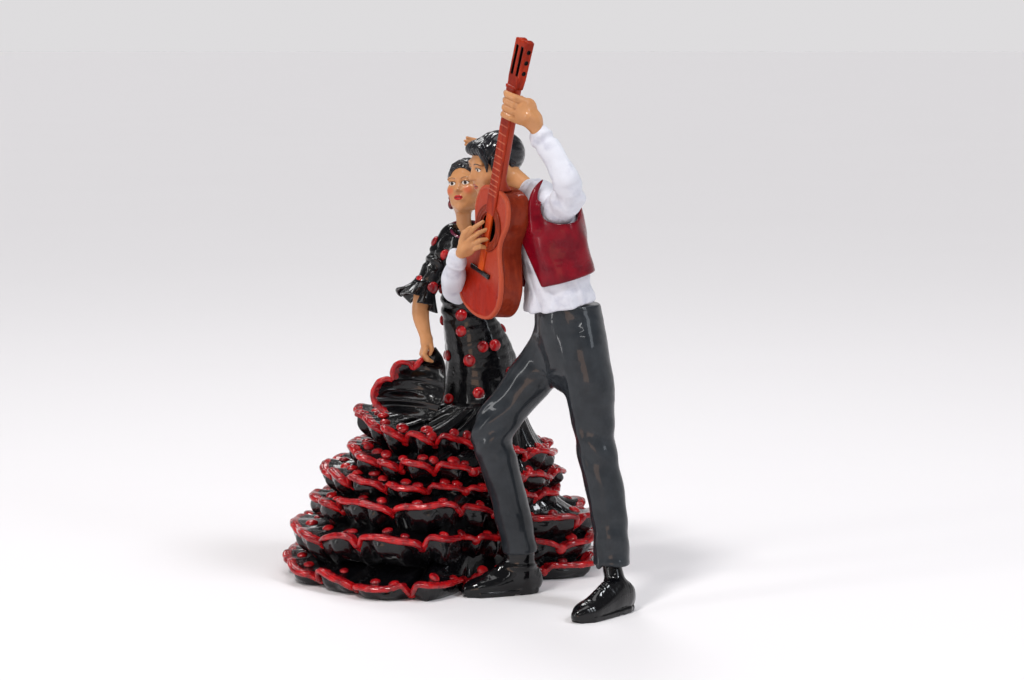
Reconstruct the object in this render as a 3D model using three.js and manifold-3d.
// Souvenir figurine: a flamenco couple, a dancer in a flounced gown and a guitarist beside her.
// Units are millimetres and +Z is up. The origin is the centre of the gown's flat underside,
// -Y is the side the couple shows to the viewer and +X is the guitarist's side.

import * as THREE from 'three';
import { mergeVertices } from 'three/addons/utils/BufferGeometryUtils.js';
import Module from 'manifold-3d';

const wasm = await Module();
wasm.setup();

// ---- driving dimensions -------------------------------------------------------------------

const JOINT_GAP = 0.3;            // clearance between two pieces that touch

// gown skirt: a plain cone that carries the flounces
const SKIRT_HEIGHT = 90;
const SKIRT_BASE_RADIUS = 58;
const SKIRT_TOP_RADIUS = 24;
const SKIRT_TOP_SHIFT = [22.5, -8];
const SKIRT_SIDES = 48;

// flounces, from the top tier down. seat is the height of the inner rim, as a share of the
// skirt's height, and root is the inner rim's height; overhang is how far the edge stands out
// from the skirt and rise is the edge's height above the seat, each on the left (-X), front (-Y),
// right (+X) and back (+Y).
const FLOUNCES = [
  { seat: 0.911, root: 9, overhang: [39, 14, 18, 27], rise: [6, 1, -15, -6] },
  { seat: 0.772, root: 9, overhang: [37, 19, 22, 29], rise: [2, 0, -13.5, -5.5] },
  { seat: 0.650, root: 9, overhang: [44, 17, 20, 31], rise: [2.5, 0, -10.5, -4] },
  { seat: 0.511, root: 9, overhang: [41, 25, 32, 33], rise: [5, 3, -13, -3] },
  { seat: 0.344, root: 9, overhang: [43, 28, 32, 34], rise: [2, 1, -11, -3] },
  { seat: 0, root: 16, overhang: [28, 24, 28, 22], rise: [9.5, 8, 9.5, 8] },
];
const FLOUNCE_SEGMENTS = 64;
const FLOUNCE_LOBES = 16;
const FLOUNCE_WAVE = 2.0;         // how far a lobe stands in and out
const FLOUNCE_LIFT = 1.4;         // how far a lobe rises and dips
const FLOUNCE_RIM = 2.6;          // thickness of the edge

// where the guitarist stands: his right ankle's place beside the skirt's foot
const MAN_AZIMUTH = -53.3;        // degrees
const MAN_STANDOFF = 16.9;
const LEG_BAY_AZIMUTH = -62;      // degrees, middle of the bay that the lower flounces leave
const LEG_BAY_CLEAR = 3;          // how far the flounces reach past the skirt's foot there
const LEG_BAY_WIDTH = 24;         // degrees, half width of the bay
const LEG_BAY_FLARE = 1.4;        // reach gained for each degree beyond the bay

// guitar, along its own axis from the bottom end of the body
const GUITAR_FOOT = [-24.5, -11, 153];   // from the guitarist's right ankle
const GUITAR_AXIS = [0.165, -0.2035, 0.965];
const GUITAR_ACROSS = [0.4925, -0.831, -0.2595];
const BODY_LENGTH = 70.5;
const BODY_DEPTH = 14.3;
const LOWER_BOUT = 22.0;          // half widths of the body
const WAIST = 13.6;
const UPPER_BOUT = 16.8;
const SOUNDBOARD = 2.0;
const SOUND_HOLE = 7.4;           // radius
const ROSETTE_INSET = 0.6;
const ROSETTE_WIDTH = 4.4;
const ROSETTE_HEIGHT = 0.8;
const BRIDGE_AT = 24.5;
const BRIDGE_LENGTH = 20;
const BRIDGE_WIDTH = 2.4;
const BRIDGE_HEIGHT = 1.4;
const STRING_BAND = 5.4;          // width of the raised band of strings
const STRING_HEIGHT = 1.2;
const NECK_LENGTH = 54;           // from the body to the headstock
const NECK_WIDTH = 9.0;
const NECK_DEPTH = 4.6;
const FINGERBOARD = 1.4;          // thickness
const HEADSTOCK_LENGTH = 25.5;
const HEADSTOCK_WIDTH = 10.4;
const HEADSTOCK_DEPTH = 4.8;

// pins and wires that hold the castings together
const PIN_RADIUS = 1.3;
const DOWEL_RADIUS = 3.2;
const PEG_RADIUS = 2.2;

const ROUND_SIDES = 12;
const PIN_SIDES = 8;

// ---- finishes -----------------------------------------------------------------------------

function finish(color, roughness, metalness = 0) {
  return new THREE.MeshStandardMaterial({ color, roughness, metalness });
}

const GOWN_BLACK = finish(0x0b0b0d, 0.18);
const HAIR_BLACK = finish(0x0d0d10, 0.22);
const SHOE_BLACK = finish(0x0a0a0b, 0.2);
const TRIM_RED = finish(0xa01018, 0.25);
const SKIN = finish(0xcf8f5a, 0.45);
const SHIRT_WHITE = finish(0xdedfe6, 0.55);
const VEST_CRIMSON = finish(0x7a0b1a, 0.3);
const TROUSER_GREY = finish(0x2b3036, 0.28);
const GUITAR_RED = finish(0x8e2a16, 0.3);
const GUITAR_DARK = finish(0x5f1f14, 0.35);
const BRIDGE_BLACK = finish(0x141210, 0.4);
const STRING_ORANGE = finish(0xb5431a, 0.35);
const STEEL = finish(0xa8abad, 0.35, 1);

// ---- solids -------------------------------------------------------------------------------

function toSolid(geometry) {
  const bare = geometry.clone();
  bare.deleteAttribute('normal');
  bare.deleteAttribute('uv');
  const merged = mergeVertices(bare, 1e-4);
  return new wasm.Manifold(new wasm.Mesh({
    numProp: 3,
    vertProperties: new Float32Array(merged.attributes.position.array),
    triVerts: new Uint32Array(merged.index.array),
  }));
}

function toGeometry(solid) {
  const mesh = solid.getMesh();
  const geometry = new THREE.BufferGeometry();
  geometry.setAttribute('position', new THREE.BufferAttribute(new Float32Array(mesh.vertProperties), 3));
  geometry.setIndex(new THREE.BufferAttribute(new Uint32Array(mesh.triVerts), 1));
  geometry.computeVertexNormals();
  return geometry;
}

// A closed skin through rings of points that all have the same count, each ring counter-clockwise
// when seen from the last ring. Both ends are closed with a fan.
function skin(rings) {
  const count = rings[0].length;
  const points = rings.flat();
  const index = [];
  for (let ring = 0; ring < rings.length - 1; ring += 1) {
    for (let i = 0; i < count; i += 1) {
      const a = ring * count + i;
      const b = ring * count + (i + 1) % count;
      index.push(a, b, b + count, a, b + count, a + count);
    }
  }
  for (const [ring, flip] of [[0, true], [rings.length - 1, false]]) {
    const centre = points.length;
    const middle = rings[ring].reduce((sum, point) => sum.add(point), new THREE.Vector3());
    points.push(middle.divideScalar(count));
    for (let i = 0; i < count; i += 1) {
      const a = ring * count + i;
      const b = ring * count + (i + 1) % count;
      index.push(...(flip ? [b, a, centre] : [a, b, centre]));
    }
  }
  const geometry = new THREE.BufferGeometry().setFromPoints(points);
  geometry.setIndex(index);
  return toSolid(geometry);
}

// A limb or trunk: elliptical sections square to a path. Each station is x, y, z, half width
// along the side direction and half depth across it. grow thickens it and lengthens its ends.
function limb(stations, side, grow = 0, sides = ROUND_SIDES) {
  const places = stations.map((station) => new THREE.Vector3(...station));
  const last = places.length - 1;
  const rings = stations.map((station, i) => {
    const along = places[Math.min(i + 1, last)].clone().sub(places[Math.max(i - 1, 0)]).normalize();
    const across = new THREE.Vector3(...side).addScaledVector(along, -along.dot(new THREE.Vector3(...side)));
    across.normalize();
    const deep = new THREE.Vector3().crossVectors(along, across);
    const stretch = i === 0 ? -grow : (i === last ? grow : 0);
    const centre = places[i].clone().addScaledVector(along, stretch);
    const ring = [];
    for (let k = 0; k < sides; k += 1) {
      const angle = (k * 2 * Math.PI) / sides;
      ring.push(centre.clone()
        .addScaledVector(across, (station[3] + grow) * Math.cos(angle))
        .addScaledVector(deep, (station[4] + grow) * Math.sin(angle)));
    }
    return ring;
  });
  return skin(rings);
}

// A straight round rod between two points.
function rod(from, to, radius, grow = 0) {
  const stations = [from, to].map((point) => [...point, radius, radius]);
  const side = Math.abs(to[2] - from[2]) > Math.abs(to[0] - from[0]) ? [1, 0, 0] : [0, 1, 0];
  return limb(stations, side, grow, PIN_SIDES);
}

function box(size, centre) {
  return toSolid(new THREE.BoxGeometry(...size).translate(...centre));
}

// A slab lying on one side of a plane through a point, tipped about Y by a slope in degrees.
function tippedSlab(size, centreHeight, slope, at) {
  const slab = new THREE.BoxGeometry(...size).translate(0, 0, centreHeight);
  return toSolid(slab.rotateY(THREE.MathUtils.degToRad(slope)).translate(...at));
}

const BELOW_FLOOR = box([600, 600, 100], [0, 0, -50]);

function without(solid, ...cutters) {
  return cutters.reduce((rest, cutter) => rest.subtract(cutter), solid);
}

// The dancer's stations are measured from the centre of the skirt's top, the guitarist's from
// the floor under his right ankle.
const MAN_TURN = THREE.MathUtils.degToRad(MAN_AZIMUTH);
const MAN_AT = new THREE.Vector3(Math.cos(MAN_TURN), Math.sin(MAN_TURN), 0)
  .multiplyScalar(SKIRT_BASE_RADIUS + MAN_STANDOFF);
const SKIRT_TOP = new THREE.Vector3(...SKIRT_TOP_SHIFT, SKIRT_HEIGHT);

function movedBy(stations, offset) {
  return stations.map(([x, y, z, ...size]) => [x + offset.x, y + offset.y, z + offset.z, ...size]);
}

const onSkirt = (stations) => movedBy(stations, SKIRT_TOP);
const byMan = (stations) => movedBy(stations, MAN_AT);

// ---- the assembly -------------------------------------------------------------------------

const figurine = new THREE.Group();

function place(name, solid, material) {
  const mesh = new THREE.Mesh(toGeometry(solid), material);
  mesh.name = name;
  figurine.add(mesh);
}

// ---- gown ---------------------------------------------------------------------------------

function skirtRing(height, grow, sides) {
  const rise = height / SKIRT_HEIGHT;
  const radius = THREE.MathUtils.lerp(SKIRT_BASE_RADIUS, SKIRT_TOP_RADIUS, rise) + grow;
  const ring = [];
  for (let i = 0; i < sides; i += 1) {
    const angle = (i * 2 * Math.PI) / sides;
    ring.push(new THREE.Vector3(
      SKIRT_TOP_SHIFT[0] * rise + radius * Math.cos(angle),
      SKIRT_TOP_SHIFT[1] * rise + radius * Math.sin(angle),
      height,
    ));
  }
  return ring;
}

function gownSkirt(grow = 0) {
  const top = skirtRing(SKIRT_HEIGHT, grow, SKIRT_SIDES);
  return skin([skirtRing(0, grow, SKIRT_SIDES), top.map((point) => point.setZ(SKIRT_HEIGHT + grow))]);
}

// Blends the values for the left, front, right and back of a tier at one angle.
function around([left, front, right, back], angle) {
  const sideways = Math.cos(angle);
  const forward = Math.sin(angle);
  const sideValue = sideways > 0 ? right : left;
  const faceValue = forward > 0 ? back : front;
  return sideValue * sideways ** 2 + faceValue * forward ** 2;
}

function bayReach(angle) {
  const offset = THREE.MathUtils.euclideanModulo(
    THREE.MathUtils.radToDeg(angle) - LEG_BAY_AZIMUTH + 180, 360) - 180;
  const beyond = Math.max(0, Math.abs(offset) - LEG_BAY_WIDTH);
  return SKIRT_BASE_RADIUS + LEG_BAY_CLEAR + LEG_BAY_FLARE * beyond;
}

// One flounce: a closed band round the skirt whose outer edge waves in lobes.
function flounce(tier, grow = 0) {
  const seat = tier.seat * SKIRT_HEIGHT;
  const rootLow = skirtRing(seat, JOINT_GAP - grow, FLOUNCE_SEGMENTS);
  const rootHigh = skirtRing(seat + tier.root, JOINT_GAP - grow, FLOUNCE_SEGMENTS);
  const sections = rootLow.map((low, i) => {
    const angle = (i * 2 * Math.PI) / FLOUNCE_SEGMENTS;
    const lobe = Math.cos(angle * FLOUNCE_LOBES);
    const out = around(tier.overhang, angle) + FLOUNCE_WAVE * lobe + grow;
    const rim = new THREE.Vector2(low.x + out * Math.cos(angle), low.y + out * Math.sin(angle));
    rim.clampLength(0, bayReach(rim.angle()));
    const edge = seat + around(tier.rise, angle) + FLOUNCE_LIFT * lobe;
    const half = FLOUNCE_RIM / 2 + grow;
    return [
      low.clone().setZ(seat - grow),
      new THREE.Vector3(rim.x, rim.y, edge - half),
      new THREE.Vector3(rim.x, rim.y, edge + half),
      rootHigh[i].clone().setZ(seat + tier.root + grow),
    ];
  });
  const points = sections.flat();
  const index = [];
  for (let i = 0; i < FLOUNCE_SEGMENTS; i += 1) {
    for (let k = 0; k < 4; k += 1) {
      const a = i * 4 + k;
      const b = i * 4 + (k + 1) % 4;
      const c = ((i + 1) % FLOUNCE_SEGMENTS) * 4 + (k + 1) % 4;
      const d = ((i + 1) % FLOUNCE_SEGMENTS) * 4 + k;
      index.push(a, c, b, a, d, c);
    }
  }
  const geometry = new THREE.BufferGeometry().setFromPoints(points);
  geometry.setIndex(index);
  return toSolid(geometry);
}

// hips, waist and bust of the gown in one casting, from the skirt's top to the neckline
const BODICE = onSkirt([
  [0, 0, JOINT_GAP, SKIRT_TOP_RADIUS, SKIRT_TOP_RADIUS - 2],
  [0.5, -1, 15, 21.5, 19.5],
  [1.1, -2, 29, 19.8, 17.5],
  [-3.5, -4, 44, 16.4, 14],
  [-7.9, -6, 58, 13.6, 11],
  [-8.9, -8, 70, 12.8, 10.6],
  [-8.3, -11, 82, 14.2, 11.8],
  [-7.9, -12, 93, 14.6, 12],
  [-7.9, -12, 101, 12.6, 9],
  [-8.1, -12.5, 107, 7.4, 6.6],
]);
const bodice = (grow) => limb(BODICE, [1, 0, 0], grow, 16);

const SLEEVE_RIGHT = onSkirt([
  [-17, -13, 101, 6.2, 7],
  [-23, -14, 91, 7.4, 7.6],
  [-27.5, -16, 80, 7.0, 7.0],
  [-30.7, -18, 71, 6.4, 6.4],
]);
const sleeveRight = (grow) => limb(SLEEVE_RIGHT, [0, 1, 0], grow);

const FRILL_RIGHT = onSkirt([
  [-29.9, -17.6, 74.5, 8.0, 8.4],
  [-31.5, -18.6, 68.5, 10.4, 11.0],
  [-32.7, -19.4, 62.5, 12.4, 13.4],
]);
const frillRight = (grow) => limb(FRILL_RIGHT, [0, 1, 0], grow);

const FOREARM_RIGHT = onSkirt([
  [-30.9, -18.6, 68, 4.6, 4.8],
  [-32.1, -21, 59, 4.6, 4.8],
  [-29.5, -24, 49, 3.6, 3.8],
  [-28.1, -25.6, 44, 4.8, 4.8],
  [-27.9, -26, 38, 3.6, 3.8],
]);
const forearmRight = (grow) => limb(FOREARM_RIGHT, [0, 1, 0], grow);

const SLEEVE_LEFT = onSkirt([
  [2, -7, 99, 7, 6.2],
  [8.5, -4.5, 108, 7.2, 7.2],
  [13.5, -3, 119, 6.8, 6.8],
  [17.1, -2.4, 130, 6.2, 6.2],
]);
const sleeveLeft = (grow) => limb(SLEEVE_LEFT, [0, 1, 0], grow);

const FRILL_LEFT = onSkirt([
  [16.1, -2.6, 126, 7.8, 7.8],
  [17.7, -2.4, 131, 10.4, 10.4],
  [18.7, -2.8, 136, 12.2, 12.2],
]);
const frillLeft = (grow) => limb(FRILL_LEFT, [0, 1, 0], grow);

const FOREARM_LEFT = onSkirt([
  [17.5, -2.6, 131, 4.6, 4.6],
  [16.1, -4, 141, 4.4, 4.4],
  [8.9, -8, 147.4, 3.6, 3.6],
  [3.5, -11, 150, 4.6, 3.2],
  [-3.1, -14, 152, 2.6, 2.0],
]);
const forearmLeft = (grow) => limb(FOREARM_LEFT, [0, 1, 0], grow);

// the bunch of skirt that the dancer holds up at her right hip
const LIFTED_FOLD = onSkirt([
  [-39, -17, 1, 21.5, 16],
  [-38.5, -18, 9, 20, 13],
  [-35.5, -21, 19, 15.5, 8],
  [-31.1, -24, 29, 9.8, 5],
  [-27.1, -26, 37, 4.2, 3.6],
  [-26.7, -26, 41, 3.2, 3.2],
]);
const liftedFold = (grow) => limb(LIFTED_FOLD, [1, 0, 0], grow, 16);

const SKIRT_DOWEL = onSkirt([[0, -0.5, -18], [0.3, -1, 22]]);
const skirtDowel = (grow) => rod(...SKIRT_DOWEL, DOWEL_RADIUS, grow);

// ---- dancer's head ------------------------------------------------------------------------

const DANCER_HEAD = onSkirt([
  [-8.3, -12.5, 104, 4.6, 4.6],
  [-8.5, -13.4, 110, 4.2, 4.2],
  [-8.9, -15, 115, 5.0, 6.4],
  [-9.1, -16.2, 119, 8.0, 9.6],
  [-8.9, -16, 125, 10.4, 12.2],
  [-8.7, -15, 132, 11.0, 13.0],
  [-8.3, -14, 138, 9.4, 11.0],
  [-7.9, -13.4, 142, 5.4, 6.2],
]);
const dancerHead = (grow) => limb(DANCER_HEAD, [1, 0, 0], grow);

const DANCER_HAIR = onSkirt([
  [-5.9, -6.5, 116, 4.6, 4.4],
  [-6.1, -7, 121, 9.4, 8.6],
  [-6.7, -9.4, 128, 11.8, 10.8],
  [-7.1, -11, 135, 11.4, 12.2],
  [-7.5, -12, 141, 8.6, 9.2],
  [-7.5, -12, 144.4, 4.4, 4.6],
]);
const DANCER_BUN = onSkirt([
  [-5.1, -1.4, 117, 4.4, 3.8],
  [-4.9, 0.2, 123, 7.4, 6.2],
  [-4.9, 0.6, 128, 6.4, 5.4],
  [-5.1, -0.4, 132, 3.2, 3.0],
]);
const dancerHair = (grow) => limb(DANCER_HAIR, [1, 0, 0], grow)
  .add(limb(DANCER_BUN, [1, 0, 0], grow));

const DANCER_NECK_PIN = onSkirt([[-8.1, -12.4, 96], [-8.6, -13.6, 119]]);
const dancerNeckPin = (grow) => rod(...DANCER_NECK_PIN, PIN_RADIUS, grow);

function earring(centre) {
  const [x, y, z] = centre;
  return limb([
    [x, y, z - 3.4, 0.9, 0.7],
    [x, y, z - 1.6, 1.9, 1.2],
    [x, y, z + 1.6, 1.6, 1.1],
    [x, y, z + 3.2, 0.7, 0.6],
  ], [0, 1, 0], 0, PIN_SIDES);
}

// ---- guitarist's trousers and shoes -------------------------------------------------------

// across the guitarist's body, towards the left shoulder
const MAN_SIDE = [0.47, -0.88, 0];

const HIPS = byMan([
  [27.2, -19, 123.5, 17, 14],
  [27, -18, 134, 20.6, 18],
  [26.2, -17, 147, 21, 18.4],
  [24.4, -16.6, 157, 20.4, 17.4],
]);
const hips = (grow) => limb(HIPS, MAN_SIDE, grow, 16);

const LEG_LEFT = byMan([
  [33.4, -28, 140, 13, 13.6],
  [35.8, -28.4, 121, 13.4, 13.6],
  [38.2, -28.6, 100, 11.2, 11.4],
  [39.5, -30, 88.5, 10.2, 10.2],
  [43, -32, 73, 10.6, 10.6],
  [46.6, -34, 55, 9.8, 9.8],
  [48, -36, 29, 9.6, 9.6],
  [48.2, -36.4, 24, 9.8, 9.8],
]);
const legLeft = (grow) => limb(LEG_LEFT, [1, 0, 0], grow);

const LEG_RIGHT = byMan([
  [20.2, -7, 137, 13, 13],
  [9.2, -6, 123, 12.6, 12.6],
  [-3.8, -7, 106, 11.6, 11.6],
  [-15.4, -9.6, 88.5, 10.4, 10.4],
  [-11.6, -8, 73, 9.8, 9.8],
  [-5.4, -4, 51.5, 9.8, 9.8],
  [-0.8, -0.6, 28, 9.0, 9.0],
  [0, 0, 24, 9.2, 9.2],
]);
const legRight = (grow) => limb(LEG_RIGHT, [0, 1, 0], grow);

// sections of a shoe: distance from the heel, half width and height
const SHOE_SECTIONS = [
  [0, 5.4, 9],
  [5, 6.8, 15],
  [13, 7.2, 17],
  [20, 6.9, 13],
  [29, 7.4, 9.6],
  [37, 6.6, 7.6],
  [42, 3.2, 5],
];

// A shoe from heel to toe with a short ankle, flat underneath.
function shoe(heel, heading, ankle, grow = 0) {
  const direction = new THREE.Vector3(...heading, 0).normalize();
  const stations = SHOE_SECTIONS.map(([run, halfWidth, height]) => [
    heel[0] + direction.x * run,
    heel[1] + direction.y * run,
    height / 2 - 1.5,
    halfWidth,
    height / 2 + 1.5,
  ]);
  const side = [-direction.y, direction.x, 0];
  return limb(stations, side, grow)
    .add(limb(ankle, [1, 0, 0], grow))
    .subtract(BELOW_FLOOR);
}

const SHOE_LEFT_HEEL = byMan([[58.8, -35, 0]])[0];
const SHOE_LEFT_HEADING = [-0.69, -0.72];
const ANKLE_LEFT = byMan([
  [50.8, -42, 6, 6, 6],
  [49.6, -39.6, 16, 5.6, 5.6],
  [48.4, -37.4, 23, 4.9, 4.9],
  [48.3, -36.6, 29, 4.4, 4.4],
]);
const shoeLeft = (grow) => shoe(SHOE_LEFT_HEEL, SHOE_LEFT_HEADING, ANKLE_LEFT, grow);

const SHOE_RIGHT_HEEL = byMan([[9.6, 3.5, 0]])[0];
const SHOE_RIGHT_HEADING = [-0.951, -0.309];
const ANKLE_RIGHT = byMan([
  [-0.2, -0.4, 6, 7, 6.4],
  [-0.4, -0.2, 15, 7.2, 6.4],
  [-0.2, -0.1, 21, 6.8, 6.2],
  [-0.4, -0.4, 27, 5.6, 5.4],
]);
const shoeRight = (grow) => shoe(SHOE_RIGHT_HEEL, SHOE_RIGHT_HEADING, ANKLE_RIGHT, grow);

const LEG_WIRE_LEFT = byMan([[48.6, -38.2, 9], [47, -34.6, 48]]);
const LEG_WIRE_RIGHT = byMan([[-0.2, -0.2, 9], [-4.2, -3.2, 46]]);
const legWireLeft = (grow) => rod(...LEG_WIRE_LEFT, PIN_RADIUS, grow);
const legWireRight = (grow) => rod(...LEG_WIRE_RIGHT, PIN_RADIUS, grow);

// joins the guitarist's right shoe to the skirt's foot
const SHOE_DOWEL_AZIMUTH = THREE.MathUtils.degToRad(-59);
const SHOE_DOWEL_HEIGHT = 3.4;
const SHOE_DOWEL_DEPTH = 11;      // in the skirt and in the shoe
function shoeDowel(grow = 0) {
  const ends = [-SHOE_DOWEL_DEPTH, SHOE_DOWEL_DEPTH].map((run) => {
    const reach = SKIRT_BASE_RADIUS + 2 + run;
    return [
      reach * Math.cos(SHOE_DOWEL_AZIMUTH),
      reach * Math.sin(SHOE_DOWEL_AZIMUTH),
      SHOE_DOWEL_HEIGHT,
    ];
  });
  return rod(...ends, PIN_RADIUS, grow);
}

// ---- guitarist's shirt, vest and arms -----------------------------------------------------

const TORSO = byMan([
  [21.2, -16, 158, 21, 17.4],
  [20.2, -16, 166, 20.6, 16.6],
  [19.4, -16, 174, 20.6, 15.6],
  [17, -15, 185, 21.8, 15],
  [15, -14, 195.5, 22.6, 14.6],
  [13.4, -12.4, 205, 21, 13],
  [9.8, -10.6, 212.5, 15, 10.6],
  [5.6, -8.6, 217.5, 8.6, 7.4],
]);
const torso = (grow) => limb(TORSO, MAN_SIDE, grow, 20);

const VEST_WALL = 2.2;
const VEST_HEM = byMan([[19.8, -16, 171]])[0];
const VEST_NECK = byMan([[8.6, -10, 212]])[0];
const HEM_SLOPE = -14;            // degrees
const NECK_SLOPE = -36;
// the open front, wide at the hem and the neck and narrow between: place, half width, half depth
const VEST_FRONT = byMan([
  [-1.8, -22.6, 166, 8, 14],
  [5.7, -19.6, 192, 2.4, 14],
  [0.7, -16.4, 214, 9, 14],
]);

// A shell round the torso, open at the hem, the neck and down the front.
function vest() {
  const shell = torso(JOINT_GAP + VEST_WALL).subtract(torso(JOINT_GAP));
  const belowHem = tippedSlab([120, 120, 60], -30, HEM_SLOPE, VEST_HEM);
  const aboveNeck = tippedSlab([60, 60, 40], 20, NECK_SLOPE, VEST_NECK);
  return without(shell, belowHem, aboveNeck, limb(VEST_FRONT, MAN_SIDE));
}

const SLEEVE_MAN_LEFT = byMan([
  [16.2, -22, 203, 10, 11],
  [22.2, -35, 207.5, 11.6, 11.6],
  [26.4, -47, 215, 11.2, 11],
  [23.2, -47, 226, 10.4, 10.2],
  [16.8, -42, 238, 8.6, 8.6],
  [9.8, -36, 249.5, 6.6, 6.6],
]);
const sleeveManLeft = (grow) => limb(SLEEVE_MAN_LEFT, [0.8, 0.6, 0], grow);

const HAND_MAN_LEFT = byMan([
  [11.8, -37.6, 246.5, 4.2, 3.6],
  [7.8, -34.6, 252.5, 5.6, 4.4],
  [3.2, -32.6, 258, 9.0, 5.4],
  [-3.2, -32.6, 262.6, 10.4, 8.2],
  [-9.6, -33.6, 265, 8.8, 7.0],
  [-13.4, -34.4, 265.6, 5.4, 4.6],
]);
const handManLeft = (grow) => limb(HAND_MAN_LEFT, [0.3, -0.3, 0.9], grow);

const SLEEVE_MAN_RIGHT = byMan([
  [4.2, 6, 205, 9.6, 10],
  [-6.8, 11, 193, 9.4, 9.4],
  [-20.8, 10.4, 175, 9.2, 9.2],
  [-32.4, 6.6, 162.4, 9.4, 9.4],
  [-34.2, -2, 165.6, 9.2, 9.0],
  [-33.8, -11, 175, 7.8, 7.4],
  [-32.8, -15.6, 180.4, 5.6, 5.4],
]);
const sleeveManRight = (grow) => limb(SLEEVE_MAN_RIGHT, [0, 1, 0.4], grow);

const HAND_MAN_RIGHT = byMan([
  [-33.2, -14, 178.6, 3.8, 3.4],
  [-31.6, -17, 184, 4.6, 3.8],
  [-27.8, -18.4, 190.6, 7.2, 3.6],
  [-23.8, -18.8, 195, 6.6, 3.0],
  [-19.8, -19.6, 199.4, 4.4, 2.4],
]);
const handManRight = (grow) => limb(HAND_MAN_RIGHT, [0.6, -0.2, -0.7], grow);

const MAN_HEAD = byMan([
  [8.2, -9, 212, 6.4, 6.4],
  [1.6, -5.4, 219, 6.6, 6.8],
  [-5.8, -1.6, 223.6, 8.4, 9.6],
  [-11.4, 0.6, 228.8, 11.6, 14.4],
  [-13.6, 1.4, 236, 12.4, 15.0],
  [-13.2, 1.8, 242.6, 9.8, 12],
  [-12.2, 2, 246.4, 5.2, 6.6],
]);
const manHead = (grow) => limb(MAN_HEAD, [0, 1, 0], grow);

const MAN_HAIR = byMan([
  [0.6, 0.6, 225, 9.4, 6.4],
  [-4.6, 1.4, 231.5, 13, 10.4],
  [-8.2, 1.6, 238.4, 13.8, 14.2],
  [-11, 1.8, 244.4, 12.2, 14.2],
  [-12.4, 2, 249, 7.2, 9.4],
]);
const manHair = (grow) => limb(MAN_HAIR, [0, 1, 0], grow);

const MAN_NECK_PIN = byMan([[9.7, -10.4, 207], [-2.6, -3.6, 222]]);
const manNeckPin = (grow) => rod(...MAN_NECK_PIN, PIN_RADIUS, grow);

const COLLAR = byMan([
  [7.4, -9.6, 214.4, 9.8, 9.8],
  [2.6, -8.2, 219.6, 10, 10],
]);
const collar = (grow) => limb(COLLAR, MAN_SIDE, grow);

// ---- guitar -------------------------------------------------------------------------------

// The guitar's own frame: X runs across the face, Y up the strings and Z out of the face.
const guitarUp = new THREE.Vector3(...GUITAR_AXIS).normalize();
const guitarOut = new THREE.Vector3(...GUITAR_ACROSS).cross(guitarUp).normalize();
const guitarAcross = new THREE.Vector3().crossVectors(guitarUp, guitarOut);
const guitarFrame = new THREE.Matrix4()
  .makeBasis(guitarAcross, guitarUp, guitarOut)
  .setPosition(...byMan([GUITAR_FOOT])[0]);

function inGuitar(geometry) {
  return toSolid(geometry.applyMatrix4(guitarFrame));
}

function plate(shape, low, high, segments = 6) {
  const geometry = new THREE.ExtrudeGeometry(shape, {
    depth: high - low,
    bevelEnabled: false,
    curveSegments: segments,
  });
  return inGuitar(geometry.translate(0, 0, low));
}

function bar(halfWidth, from, to, low, high) {
  const geometry = new THREE.BoxGeometry(halfWidth * 2, to - from, high - low);
  return inGuitar(geometry.translate(0, (from + to) / 2, (low + high) / 2));
}

// the outline of the body as a smooth loop through its bouts and waist
function guitarOutline(grow = 0) {
  const lowerAt = BODY_LENGTH * 0.26;
  const waistAt = BODY_LENGTH * 0.6;
  const upperAt = BODY_LENGTH * 0.78;
  const half = [
    [0, -grow],
    [LOWER_BOUT * 0.62 + grow, lowerAt * 0.14 - grow],
    [LOWER_BOUT + grow, lowerAt],
    [WAIST + grow, waistAt],
    [UPPER_BOUT + grow, upperAt],
    [UPPER_BOUT * 0.62 + grow, BODY_LENGTH - 1.6 + grow],
    [0, BODY_LENGTH + grow],
  ];
  const rightHalf = half.map(([x, y]) => new THREE.Vector3(x, y, 0));
  const leftHalf = half.slice(1, -1).reverse().map(([x, y]) => new THREE.Vector3(-x, y, 0));
  const loop = new THREE.CatmullRomCurve3([...rightHalf, ...leftHalf], true, 'centripetal');
  const points = loop.getPoints(44).slice(0, -1);
  return new THREE.Shape(points.map((point) => new THREE.Vector2(point.x, point.y)));
}

const SOUND_HOLE_AT = BODY_LENGTH * 0.69;
const FINGERBOARD_FROM = SOUND_HOLE_AT + SOUND_HOLE;
const NECK_TO = BODY_LENGTH + NECK_LENGTH;

function circle(radius, y) {
  return new THREE.Path().absarc(0, y, radius, 0, Math.PI * 2, false);
}

// the whole body as one block, for what has to keep clear of it
const guitarBody = (grow) => plate(guitarOutline(grow), -BODY_DEPTH - grow, grow);
const guitarRibs = () => plate(guitarOutline(), -BODY_DEPTH, -SOUNDBOARD - JOINT_GAP);

function guitarSoundboard() {
  const outline = guitarOutline();
  outline.holes.push(circle(SOUND_HOLE, SOUND_HOLE_AT));
  return plate(outline, -SOUNDBOARD, 0);
}

const guitarFingerboard = (grow = 0) => bar(NECK_WIDTH / 2 + grow, FINGERBOARD_FROM - grow, NECK_TO,
  JOINT_GAP - grow, JOINT_GAP + FINGERBOARD + grow);

const guitarNeck = () => bar(NECK_WIDTH / 2, BODY_LENGTH + JOINT_GAP, NECK_TO, -NECK_DEPTH, 0);

// neck and fingerboard as one block, for the hand that holds them
const neckBlock = (grow) => bar(NECK_WIDTH / 2 + grow, BODY_LENGTH, NECK_TO,
  -NECK_DEPTH - grow, JOINT_GAP + FINGERBOARD + grow);

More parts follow.
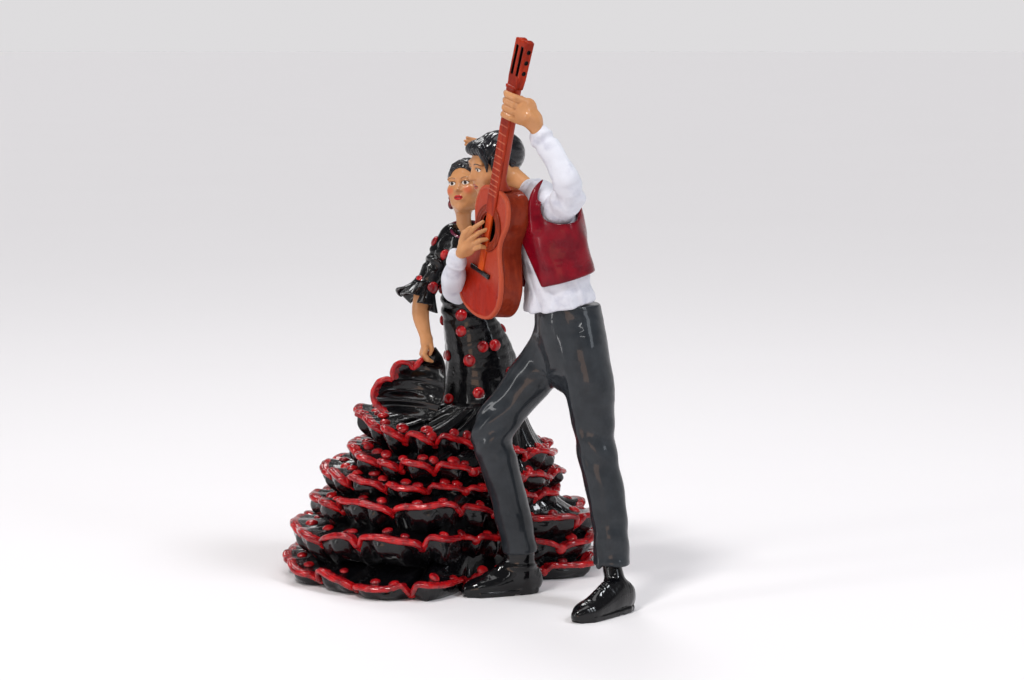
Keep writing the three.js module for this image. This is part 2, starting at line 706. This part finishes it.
function guitarRosette(grow = 0) {
  const inner = SOUND_HOLE + ROSETTE_INSET;
  const ring = new THREE.Shape().absarc(0, SOUND_HOLE_AT, inner + ROSETTE_WIDTH, 0, Math.PI * 2, false);
  ring.holes.push(circle(inner, SOUND_HOLE_AT));
  return plate(ring, JOINT_GAP, JOINT_GAP + ROSETTE_HEIGHT + grow);
}

// the band of strings runs over the rosette, from the bridge to the fingerboard
function guitarStrings(grow = 0) {
  const low = JOINT_GAP + ROSETTE_HEIGHT + JOINT_GAP;
  return bar(STRING_BAND / 2 + grow, BRIDGE_AT + BRIDGE_WIDTH / 2 + JOINT_GAP,
    FINGERBOARD_FROM - JOINT_GAP, low - grow, low + STRING_HEIGHT + grow);
}

function guitarBridge() {
  return bar(BRIDGE_LENGTH / 2, BRIDGE_AT - BRIDGE_WIDTH / 2, BRIDGE_AT + BRIDGE_WIDTH / 2,
    JOINT_GAP, JOINT_GAP + BRIDGE_HEIGHT);
}

const SLOT_WIDTH = 2.2;
const SLOT_AT = 2.5;              // from the headstock's middle

function headstockBlock(grow = 0) {
  const half = HEADSTOCK_WIDTH / 2 + grow;
  const from = NECK_TO + JOINT_GAP - grow;
  const to = NECK_TO + HEADSTOCK_LENGTH + grow;
  const outline = new THREE.Shape();
  outline.moveTo(-NECK_WIDTH / 2 - grow, from);
  outline.lineTo(NECK_WIDTH / 2 + grow, from);
  outline.lineTo(half, from + 5);
  outline.lineTo(half, to - 1.5);
  outline.lineTo(half - 2, to);
  outline.lineTo(2 - half, to);
  outline.lineTo(-half, to - 1.5);
  outline.lineTo(-half, from + 5);
  return plate(outline, 1 - HEADSTOCK_DEPTH - grow, 1 + grow);
}

function guitarHeadstock() {
  const slots = [-SLOT_AT, SLOT_AT].map((x) => inGuitar(
    new THREE.BoxGeometry(SLOT_WIDTH, HEADSTOCK_LENGTH - 11, 4)
      .translate(x, NECK_TO + HEADSTOCK_LENGTH / 2, 1)));
  return without(headstockBlock(), ...slots);
}

// a peg from the guitar's back into the shirt
function guitarPeg(grow = 0) {
  const from = new THREE.Vector3(2, 46, -SOUNDBOARD - 5).applyMatrix4(guitarFrame);
  const to = new THREE.Vector3(2, 46, -SOUNDBOARD - 31).applyMatrix4(guitarFrame);
  return rod(from.toArray(), to.toArray(), PEG_RADIUS, grow);
}

// ---- put together -------------------------------------------------------------------------

const gap = JOINT_GAP;

place('gown_skirt', without(gownSkirt(), skirtDowel(gap), shoeDowel(gap)), GOWN_BLACK);
FLOUNCES.forEach((tier, i) => {
  const band = without(flounce(tier), legRight(gap), shoeRight(gap), shoeDowel(gap));
  place(`flounce_${i + 1}`, band, GOWN_BLACK);
});
place('gown_bodice', without(bodice(0), gownSkirt(gap), skirtDowel(gap), dancerNeckPin(gap)), GOWN_BLACK);
place('gown_lifted_fold', without(liftedFold(0), bodice(gap), gownSkirt(gap),
  flounce(FLOUNCES[0], gap), forearmRight(gap)), GOWN_BLACK);

place('dancer_sleeve_right', without(sleeveRight(0), bodice(gap), forearmRight(gap)), GOWN_BLACK);
place('dancer_frill_right', without(frillRight(0), sleeveRight(gap), forearmRight(gap)), GOWN_BLACK);
place('dancer_forearm_right', forearmRight(0), SKIN);
place('dancer_sleeve_left', without(sleeveLeft(0), bodice(gap), forearmLeft(gap)), GOWN_BLACK);
place('dancer_frill_left', without(frillLeft(0), sleeveLeft(gap), forearmLeft(gap)), GOWN_BLACK);
place('dancer_forearm_left', forearmLeft(0), SKIN);
place('dancer_head', without(dancerHead(0), bodice(gap), dancerNeckPin(gap)), SKIN);
place('dancer_hair', without(dancerHair(0), dancerHead(gap)), HAIR_BLACK);
place('dancer_earring_right', earring(onSkirt([[-19.6, -16.6, 121.5]])[0]), TRIM_RED);
place('dancer_earring_left', earring(onSkirt([[2.1, -16.2, 121.5]])[0]), TRIM_RED);

place('man_hips', without(hips(0), torso(gap)), TROUSER_GREY);
place('man_leg_left', without(legLeft(0), hips(gap), shoeLeft(gap), legWireLeft(gap)), TROUSER_GREY);
place('man_leg_right', without(legRight(0), hips(gap), legLeft(gap), shoeRight(gap),
  legWireRight(gap)), TROUSER_GREY);
place('man_shoe_left', without(shoeLeft(0), legWireLeft(gap)), SHOE_BLACK);
place('man_shoe_right', without(shoeRight(0), legWireRight(gap), shoeDowel(gap)), SHOE_BLACK);
place('man_shirt', without(torso(0), guitarBody(gap), manNeckPin(gap), guitarPeg(gap)), SHIRT_WHITE);
place('man_vest', without(vest(), sleeveManLeft(gap), sleeveManRight(gap), guitarBody(gap),
  guitarPeg(gap)), VEST_CRIMSON);
place('man_sleeve_left', without(sleeveManLeft(0), torso(gap), handManLeft(gap)), SHIRT_WHITE);
place('man_hand_left', without(handManLeft(0), neckBlock(gap), headstockBlock(gap)), SKIN);
place('man_sleeve_right', without(sleeveManRight(0), torso(gap), handManRight(gap),
  guitarBody(gap)), SHIRT_WHITE);
place('man_hand_right', without(handManRight(0), guitarStrings(gap), guitarRosette(gap),
  guitarBody(gap)), SKIN);
place('man_head', without(manHead(0), torso(gap), guitarBody(gap), manNeckPin(gap)), SKIN);
place('man_hair', without(manHair(0), manHead(gap)), HAIR_BLACK);
place('man_collar', without(collar(0), manHead(gap), torso(gap), guitarBody(gap)), SHIRT_WHITE);

place('guitar_ribs', without(guitarRibs(), guitarPeg(gap)), GUITAR_DARK);
place('guitar_soundboard', guitarSoundboard(), GUITAR_RED);
place('guitar_rosette', without(guitarRosette(), guitarFingerboard(gap)), GUITAR_DARK);
place('guitar_strings', guitarStrings(), STRING_ORANGE);
place('guitar_bridge', guitarBridge(), BRIDGE_BLACK);
place('guitar_neck', guitarNeck(), GUITAR_RED);
place('guitar_fingerboard', guitarFingerboard(), STRING_ORANGE);
place('guitar_headstock', guitarHeadstock(), GUITAR_RED);

place('skirt_dowel', skirtDowel(0), STEEL);
place('shoe_dowel', shoeDowel(0), STEEL);
place('dancer_neck_pin', dancerNeckPin(0), STEEL);
place('man_neck_pin', manNeckPin(0), STEEL);
place('leg_wire_left', legWireLeft(0), STEEL);
place('leg_wire_right', legWireRight(0), STEEL);
place('guitar_peg', guitarPeg(0), STEEL);

export default figurine;
